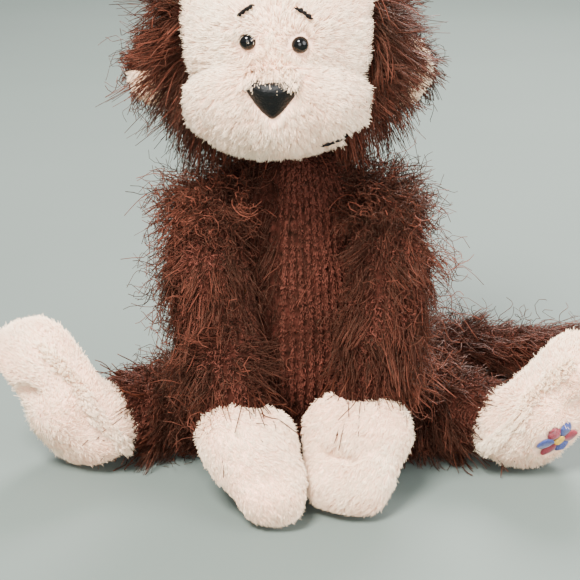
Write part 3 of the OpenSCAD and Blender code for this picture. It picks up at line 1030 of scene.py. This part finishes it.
SHORT_PILE = dict(length=(0.0018, 0.0030), lift=0.38, jitter=0.15, clump=0.45)
TUFTS = dict(jitter=0.6, clump=0.75, per_clump=7)
LOOSE = dict(lift=0.7, clump=0.45, radius=0.00026, per_clump=5, material=DARK_LASH)
CUFF_R, ANKLE_R = 0.0165, 0.0185
brown_coat("head", head_comb, 8000, 3600, 260, 100, hood_upper, length=(0.008, 0.020), lift=0.7, **TUFTS)
grow("head_locks", "head", "lash", 2300, head_comb, 104, side_locks, tint_power=1.8, length=(0.013, 0.025),
     lift=0.7, sag=0.05, **TUFTS)
grow("head_mane", "head", "lash", 3400, away_from(HEAD, 0.5, 0.8), 106, nape, tint_power=2.6,
     length=(0.015, 0.028), lift=0.8, sag=0.25, curl=0.0014)
brown_coat("torso", along((0, -0.2, -1.0), 0.3, 0.018, 3), 9500, 2600, 200, 110, lash_keep=chest_parted,
           nub_keep=off_chest, shade=torso_painted_shade)
grow("chest_ribs", "torso", "nub", 9000, along((0, 0, -1.0), 0.1), 114, chest_ribs, tint_power=0.7,
     length=(0.0013, 0.0021), radius=0.00026, lift=0.3, lean=1.0, jitter=0.16, curl=0.0002)
grow("torso_ruff", "torso", "fringe", 1300, away_from(NECK - UP * 0.03, 1.0, -0.2), 113, ruff,
     tint_power=2.2, length=(0.009, 0.022), curl=0.0012)
for number, side in enumerate(SIDES):
    arm, hand, leg, foot, ear = (limb + side for limb in ("arm_", "hand_", "leg_", "foot_", "ear_"))
    step = 10 * number
    brown_coat(arm, arm_comb(side), 9000, 2300, 120, 120 + step, lash_keep=outside_of(WRIST[side], CUFF_R),
               shade=arm_painted_shade(side))
    # tint_power 3.2 keeps the shoulder fringe to its darkest tints: painted shade on the tops of the
    # shoulders.
    grow(arm + "_shoulder", arm, "fringe", 460, away_from(SHOULDER[side] - UP * 0.02), 124 + step,
         shoulder_top(side), tint_power=3.2, length=(0.008, 0.018), curl=0.0022)
    grow(arm + "_loops", arm, "fringe", 210, along(OUTWARD[side] - UP * 0.3, 0.5), 125 + step,
         facing_out(side), tint_power=1.4, length=(0.012, 0.022), curl=0.0034, turns=1.2, sag=0.1)
    brown_coat(leg, leg_comb(side), 6000, 2300, 260, 140 + step, lash_keep=outside_of(ANKLE[side], ANKLE_R),
               shade=leg_painted_shade)
    ear_middle = middle_of("ear_inner_" + side)
    brown_coat(ear, away_from(ear_middle - (0, 0.004, 0)), 900, 600, 60, 160 + step, ear_rest(side),
               length=(0.005, 0.011))
    grow("cuff_strands_" + side, arm, "lash", 110 if side == "right" else 70,
         along(FINGERS[side] - WRIST[side] + (0, -0.016, 0), 0.5), 180 + number,
         inside_of(WRIST[side], CUFF_R), length=(0.010, 0.021), sag=0.2, **LOOSE)
    grow("ankle_strands_" + side, leg, "lash", 90, along(HEEL[side] - ANKLE[side] + (0, -0.012, 0), 0.6),
         184 + number, inside_of(ANKLE[side], ANKLE_R), length=(0.008, 0.018), sag=0.1, **LOOSE)
    grow("ear_pile_" + side, ear, "pile", 4500, away_from(ear_middle, 0.6, 0.2), 190 + number,
         ear_front(side), length=(0.0018, 0.0030))
    cream_coat("hand_pile_" + side, hand, hand_comb(side), 200 + step, outside_of(WRIST[side], 0.0115),
               **SHORT_PILE)
    cream_coat("foot_pile_" + side, foot, foot_comb(side), 220 + step, foot_plush(side), **SHORT_PILE)
    grow("seam_pile_" + side, foot, "pile", 2600, away_from(mix(HEEL[side], TOES[side], 0.4), 1.0, 0.2),
         224 + step, by_seam(side), tint_power=0.5, length=(0.0030, 0.0044), lift=0.7)
brown_coat("tail_base", along(TAIL_MIDDLE - TAIL_ROOT, 0.6, 0.018, 8), 3000, 1900, 300, 240)
brown_coat("tail_tip", along(TAIL_END - TAIL_MIDDLE, 0.6, 0.018, 9), 3000, 1900, 300, 250)


# ---- the face's pile, parted round the eyes and the nose ----

mouth_low, mouth_high = box_of("mouth_thread")
mouth_x = np.linspace(mouth_low[0], mouth_high[0], 90)
sweep = (2 * (mouth_x - mouth_low[0]) / (mouth_high[0] - mouth_low[0]) - 1) ** 2
mouth_z = mouth_low[2] + 0.0006 + (mouth_high[2] - mouth_low[2] - 0.0012) * sweep

EYES = [middle_of("eye_left"), middle_of("eye_right")]
EYE_GAP, NOSE_GAP = 0.0036, 0.0006
MOUTH_BARE_FROM = 0.77
PARTING = np.array((NOSE[0], NOSE[1] + 0.012, NOSE_HIGH[2] - 0.003))


def from_front(p, centre):
    return np.hypot(p[:, 0] - centre[0], p[:, 2] - centre[2])


def on_nose(p, margin):
    """True inside the nose's outline, seen from the front."""
    drop = np.clip((NOSE_HIGH[2] - p[:, 2]) / (NOSE_HIGH[2] - NOSE_LOW[2]), 0, 1)
    half = (NOSE_HIGH[0] - NOSE_LOW[0]) / 2 * (1 - drop) ** 0.8 + margin
    inside = (p[:, 2] < NOSE_HIGH[2] + margin * 0.2) & (p[:, 2] > NOSE_LOW[2] - margin)
    return inside & (np.abs(p[:, 0] - NOSE[0]) < half)


def face_bare(p):
    bare = on_nose(p, NOSE_GAP)
    smile = np.interp(p[:, 0], mouth_x, mouth_z)
    stitched = p[:, 0] > mix(mouth_x[0], mouth_x[-1], MOUTH_BARE_FROM)
    bare = bare | ((np.abs(p[:, 2] - smile - 0.0007) < 0.0022) & stitched)
    for eye in EYES:
        bare = bare | (from_front(p, eye) < EYE_GAP)
    return bare


def face_comb(p, n):
    flow = unit(p - PARTING) - 0.3 * UP + 0.22 * noise_vector(p, 0.012, 51)
    for eye in EYES:
        near = np.exp(-(from_front(p, eye)[:, None] / 0.0070) ** 2)
        lid = (p[:, 2] - eye[2] > 0.0018)[:, None] & (eye[0] < NOSE[0])
        flow = flow * (1 - near) + near * np.where(lid, -0.9 * UP, 1.2 * unit(p - eye))
    rise = p[:, 2] - NOSE_HIGH[2]
    above = (rise > -0.001) & (rise < 0.003) & (np.abs(p[:, 0] - NOSE[0]) < 0.0095)
    flow[above] = -UP + 0.3 * noise_vector(p[above], 0.004, 52)
    return flow


def face_front(p, n):
    return np.where((n[:, 1] < -0.1) & ~face_bare(p), 1.0, 0.0)


def muzzle_front(p, n):
    return np.where((p[:, 1] < HEAD[1] - 0.024) & ~face_bare(p), 1.0, 0.0)


def chin(p, n):
    return muzzle_front(p, n) * (p[:, 2] < MUZZLE_LOW[2] + 0.008)


def nose_bridge(p, n):
    """A band just above the nose, whose pile hangs over its top edge."""
    rise = p[:, 2] - NOSE_HIGH[2]
    return (rise > -0.0012) & (rise < 0.0024) & (np.abs(p[:, 0] - NOSE[0]) < 0.0092) & (n[:, 1] < -0.1)


cream_coat("face_pile", "face", face_comb, 260, face_front, count=13500)
cream_coat("muzzle_pile", "muzzle", face_comb, 270, muzzle_front, count=13500)
grow("chin_pile", "muzzle", "pile", 3000, along((0, 0.1, -1), 0.3), 290, chin, length=(0.0030, 0.0046),
     clump=0.6)
grow("nose_bridge_pile", "muzzle", "pile", 1300, along((0, -0.2, -1)), 280, nose_bridge,
     length=(0.0044, 0.0072), lift=1.0, sag=0.5, jitter=0.25, clump=0.5, per_clump=10)


# ---- eyes, nose, brows, mouth ----

def dome(name, node):
    """A glossy half ball with a turned rim."""
    low, high = box_of(node)
    centre = (low + high) / 2
    radius = (high[0] - low[0]) / 2
    front = low[1]
    depth = 0.62 * radius * 2 * 0.5 + 0.0010
    rings, around = 14, 40
    points, faces = [], []
    for i in range(rings + 1):
        lean = math.pi * 0.5 * i / rings
        for j in range(around):
            turn = 2 * math.pi * j / around
            r = radius * math.sin(lean) if i < rings else radius * 0.94
            y = front + depth * (1 - math.cos(lean)) + (0.0006 if i == rings else 0)
            points.append((centre[0] + r * math.cos(turn), y, centre[2] + r * math.sin(turn)))
            if i < rings:
                k, n = i * around + j, i * around + (j + 1) % around
                faces.append((k, k + around, n + around, n))
    faces.append(tuple(range(rings * around, (rings + 1) * around)))
    piece = new_object(name, mesh_from(name, points, faces))
    work = bmesh.new()
    work.from_mesh(piece.data)
    bmesh.ops.remove_doubles(work, verts=work.verts, dist=0.00001)
    bmesh.ops.recalc_face_normals(work, faces=work.faces)
    work.to_mesh(piece.data)
    work.free()
    smooth_shade(piece)
    belong(piece, EYE_BLACK, "head", "eye_black", node)


def nose_form():
    low, high = box_of("nose")
    width, height = (high - low)[0], (high - low)[2]
    x, front = (low[0] + high[0]) / 2, low[1]
    top = high[2]
    balls = []
    for u in np.linspace(-1, 1, 9):
        for v in np.linspace(0, 1, 7):
            span = (width / 2 - 0.0014) * (1 - v) ** 0.8 * (1 - 0.12 * (1 - v) ** 3)
            dip = 0.0016 * (1 - u * u) * (1 - v)
            place = (x + u * span, front + 0.0040 + 0.0030 * u * u * (1 - v) + 0.0020 * v,
                     top - 0.0026 - dip - v * (height - 0.0052))
            balls.append((np.array(place), 0.0026 + 0.0008 * (1 - u * u) * (1 - v)))
    piece = stuffed_form("nose_pad", balls, 0.0009, 4)
    refine(piece, 1)
    belong(piece, NOSE_BLACK, "head", "nose_leatherette", "nose", fill=0.9)


def on_surface(key, x, z):
    """The frontmost Y of a skin at (x, z), met by a line along +Y."""
    hit, place, _, _ = SKINS[key].ray_cast(Vector((x, -0.2, z)), Vector((0, 1, 0)))
    return min(0.0, place[1]) if hit else 0.0


def stitch_line(name, node, stations, radius, twist):
    """Two plies of thread laid side by side along stations, as a closed tube each."""
    stations = np.array(stations)
    count = len(stations)
    t = np.linspace(0, 1, count)
    plies = []
    for shift in (0, math.pi):
        turn = 2 * math.pi * twist * t + shift
        plies.append(stations + 0.55 * radius * np.stack([np.cos(turn), 0 * t, np.sin(turn)], 1))
    path = np.array(plies)
    thick = np.tile(radius * np.minimum(1, 6 * np.minimum(t, 1 - t) + 0.35), (2, 1)) * 0.75
    piece = new_object(name, tube_mesh(name, path, thick, np.array((0.2, 0.8))))
    belong(piece, THREAD_BLACK, "head", "black_thread", node)


for side in SIDES:
    dome("eye_dome_" + side, "eye_" + side)
    frame["nodes"]["eye_washer_" + side].data.materials.clear()
    frame["nodes"]["eye_washer_" + side].data.materials.append(WASHER)
    low, high = box_of("brow_" + side)
    inner, outer = (low[0], high[0]) if side == "left" else (high[0], low[0])
    xs = np.linspace(inner, outer, 16)
    zs = high[2] - (high[2] - low[2]) * np.linspace(0, 1, 16) ** 1.3
    stitch_line("brow_thread_" + side, "brow_" + side,
                [(x, on_surface("face", x, z) - 0.0026, z) for x, z in zip(xs, zs)], 0.0008, 2)
nose_form()

mouth_out = 0.0006 + 0.0032 * (np.linspace(0, 1, len(mouth_x)) > MOUTH_BARE_FROM)
stitch_line("mouth_stitches", "mouth_thread",
            [(x, on_surface("muzzle", x, z) - out, z) for x, z, out in zip(mouth_x, mouth_z, mouth_out)],
            0.00065, 14)


# ---- the flower on the left sole ----

def satin_petal(centre, along_dir, across_dir, out, length, width, rise=0.0, threads=17):
    """Threads laid side by side across a petal, longest in its middle, resting on the sole."""
    paths = []
    for k in range(threads):
        s = (k + 0.5) / threads
        half = width / 2 * math.sin(math.pi * s) ** 0.6
        thread = []
        for t in np.linspace(-1, 1, 7):
            place = centre + along_dir * length * s + across_dir * half * t
            hit, met, _, _ = SKINS["foot_left"].ray_cast(Vector(place + out * 0.02), Vector(-out))
            thread.append((np.array(met) if hit else place) + out * (0.0006 + rise + (1 - t ** 2) * 0.0006))
        paths.append(thread)
    return np.array(paths)


def flower():
    out = SOLE_FACES["left"]
    across = unit(np.cross(UP, out))
    tall = np.cross(out, across)
    centre, size = FLOWER, FLOWER_R
    groups = {"petals_blue": (PETAL_BLUE, []), "petals_red": (PETAL_RED, [])}
    for k in range(6):
        turn = math.pi / 3 * k + 0.2
        way = math.cos(turn) * across + math.sin(turn) * tall
        cross = -math.sin(turn) * across + math.cos(turn) * tall
        group = "petals_blue" if k % 2 else "petals_red"
        petal = satin_petal(centre + way * size * 0.25, way, cross, out, size * 0.72, size * 0.62)
        groups[group][1].append(petal)
    heart = satin_petal(centre - tall * size * 0.26, tall, across, out, size * 0.52, size * 0.52, 0.0004, 13)
    parts = [(name, material, np.concatenate(petals), 0.00034) for name, (material, petals) in groups.items()]
    for name, material, path, thick in parts + [("flower_heart", HEART_YELLOW, heart, 0.00028)]:
        mesh = tube_mesh(name, path, np.full(path.shape[:2], thick), np.linspace(0, 0.99, len(path)))
        belong(new_object(name, mesh), material, "foot_left", "flower_thread")
    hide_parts("foot_flower")


flower()


# ---- label and closing stitches ----

def label():
    low, high = box_of("care_label")
    y = (low[1] + high[1]) / 2
    gap, rows, fold = 0.0009, 24, 0.46
    width, tall = (high - low)[0], (high - low)[2]
    points, faces = [], []
    for i in range(rows + 1):
        s = i / rows
        if s < fold:
            x, off = s / fold, -gap
        elif s > 1 - fold:
            x, off = (1 - s) / fold, gap
        else:
            x, off = 1.0, gap * math.sin((s - 0.5) / 0.04 * math.pi / 2)
        x = high[0] - width * x
        for j in range(9):
            z = low[2] + tall * j / 8
            points.append((x, y + off + 0.0005 * math.sin(3 * (x - low[0]) / width + z * 90), z))
            if i < rows and j < 8:
                k = i * 9 + j
                faces.append((k, k + 1, k + 10, k + 9))
    piece = new_object("care_label_ribbon", mesh_from("care_label_ribbon", points, faces))
    thick = piece.modifiers.new("thick", "SOLIDIFY")
    thick.thickness = 0.0002
    bake_modifiers(piece)
    smooth_shade(piece)
    belong(piece, LABEL_WHITE, "torso", "label_ribbon", "care_label")


label()

low, high = box_of("closing_stitches")
rungs = []
for z in np.linspace(low[2] + 0.0006, high[2] - 0.0006, 6):
    t = np.linspace(-1, 1, 9)
    y = mix(high[1], low[1], (z - low[2]) / (high[2] - low[2]))
    rungs.append(np.stack([0.0026 * t, y + 0.0012 - 0.0016 * t ** 2, z + 0.0006 * t], 1))
ladder = np.array(rungs)
ladder_mesh = tube_mesh("closing_ladder", ladder, np.full(ladder.shape[:2], 0.00045), np.linspace(0, 0.9, 6))
belong(new_object("closing_ladder", ladder_mesh), THREAD_BROWN, "torso", "brown_knit", "closing_stitches")


# ---- floor, lights and camera ----

floor_mesh = mesh_from("floor", [(-3, -3, 0), (3, -3, 0), (3, 3, 0), (-3, 3, 0)], [(0, 1, 2, 3)])
floor = new_object("floor", floor_mesh)
PALE_FLOOR = surface_material("pale_floor", (0.088, 0.110, 0.097), (0.094, 0.117, 0.103), 6, 0.8, 0.05, 60)
floor.data.materials.append(PALE_FLOOR)


def area_light(name, place, target, size, power, colour):
    data = bpy.data.lights.new(name, "AREA")
    data.shape = "DISK"
    data.size = size
    data.energy = power
    data.color = colour
    lamp = bpy.data.objects.new(name, data)
    SCENE.collection.objects.link(lamp)
    lamp.location = place
    lamp.rotation_mode = "QUATERNION"
    lamp.rotation_quaternion = (Vector(target) - Vector(place)).to_track_quat("-Z", "Y")


area_light("key", (-0.35, -0.75, 1.15), (0, 0, 0.1), 0.45, 88, (1.0, 0.97, 0.93))
area_light("fill", (0.9, -0.6, 0.6), (0, 0, 0.08), 0.9, 27, (0.98, 0.98, 1.0))
area_light("front", (-0.1, -1.5, 0.5), (0, 0, 0.12), 0.9, 26, (1.0, 0.98, 0.95))
area_light("back", (0.3, 0.9, 0.9), (0, 0, 0.1), 0.6, 44, (1.0, 0.98, 0.96))
world = bpy.data.worlds.new("studio")
world.use_nodes = True
world.node_tree.nodes["Background"].inputs["Color"].default_value = (0.85, 0.90, 0.92, 1)
world.node_tree.nodes["Background"].inputs["Strength"].default_value = 1.0
SCENE.world = world

TARGET = Vector((-0.002, 0, 0.066))
DISTANCE, ELEVATION, FOCAL = 0.700, math.radians(20), 1667
camera_data = bpy.data.cameras.new("camera")
camera_data.sensor_width = 36
camera_data.lens = FOCAL * 36 / 580
camera_data.clip_start = 0.01
camera = bpy.data.objects.new("camera", camera_data)
SCENE.collection.objects.link(camera)
back = Vector((0, -math.cos(ELEVATION), math.sin(ELEVATION)))
camera.location = TARGET + back * DISTANCE
camera.rotation_mode = "QUATERNION"
camera.rotation_quaternion = (-back).to_track_quat("-Z", "Y")
SCENE.camera = camera
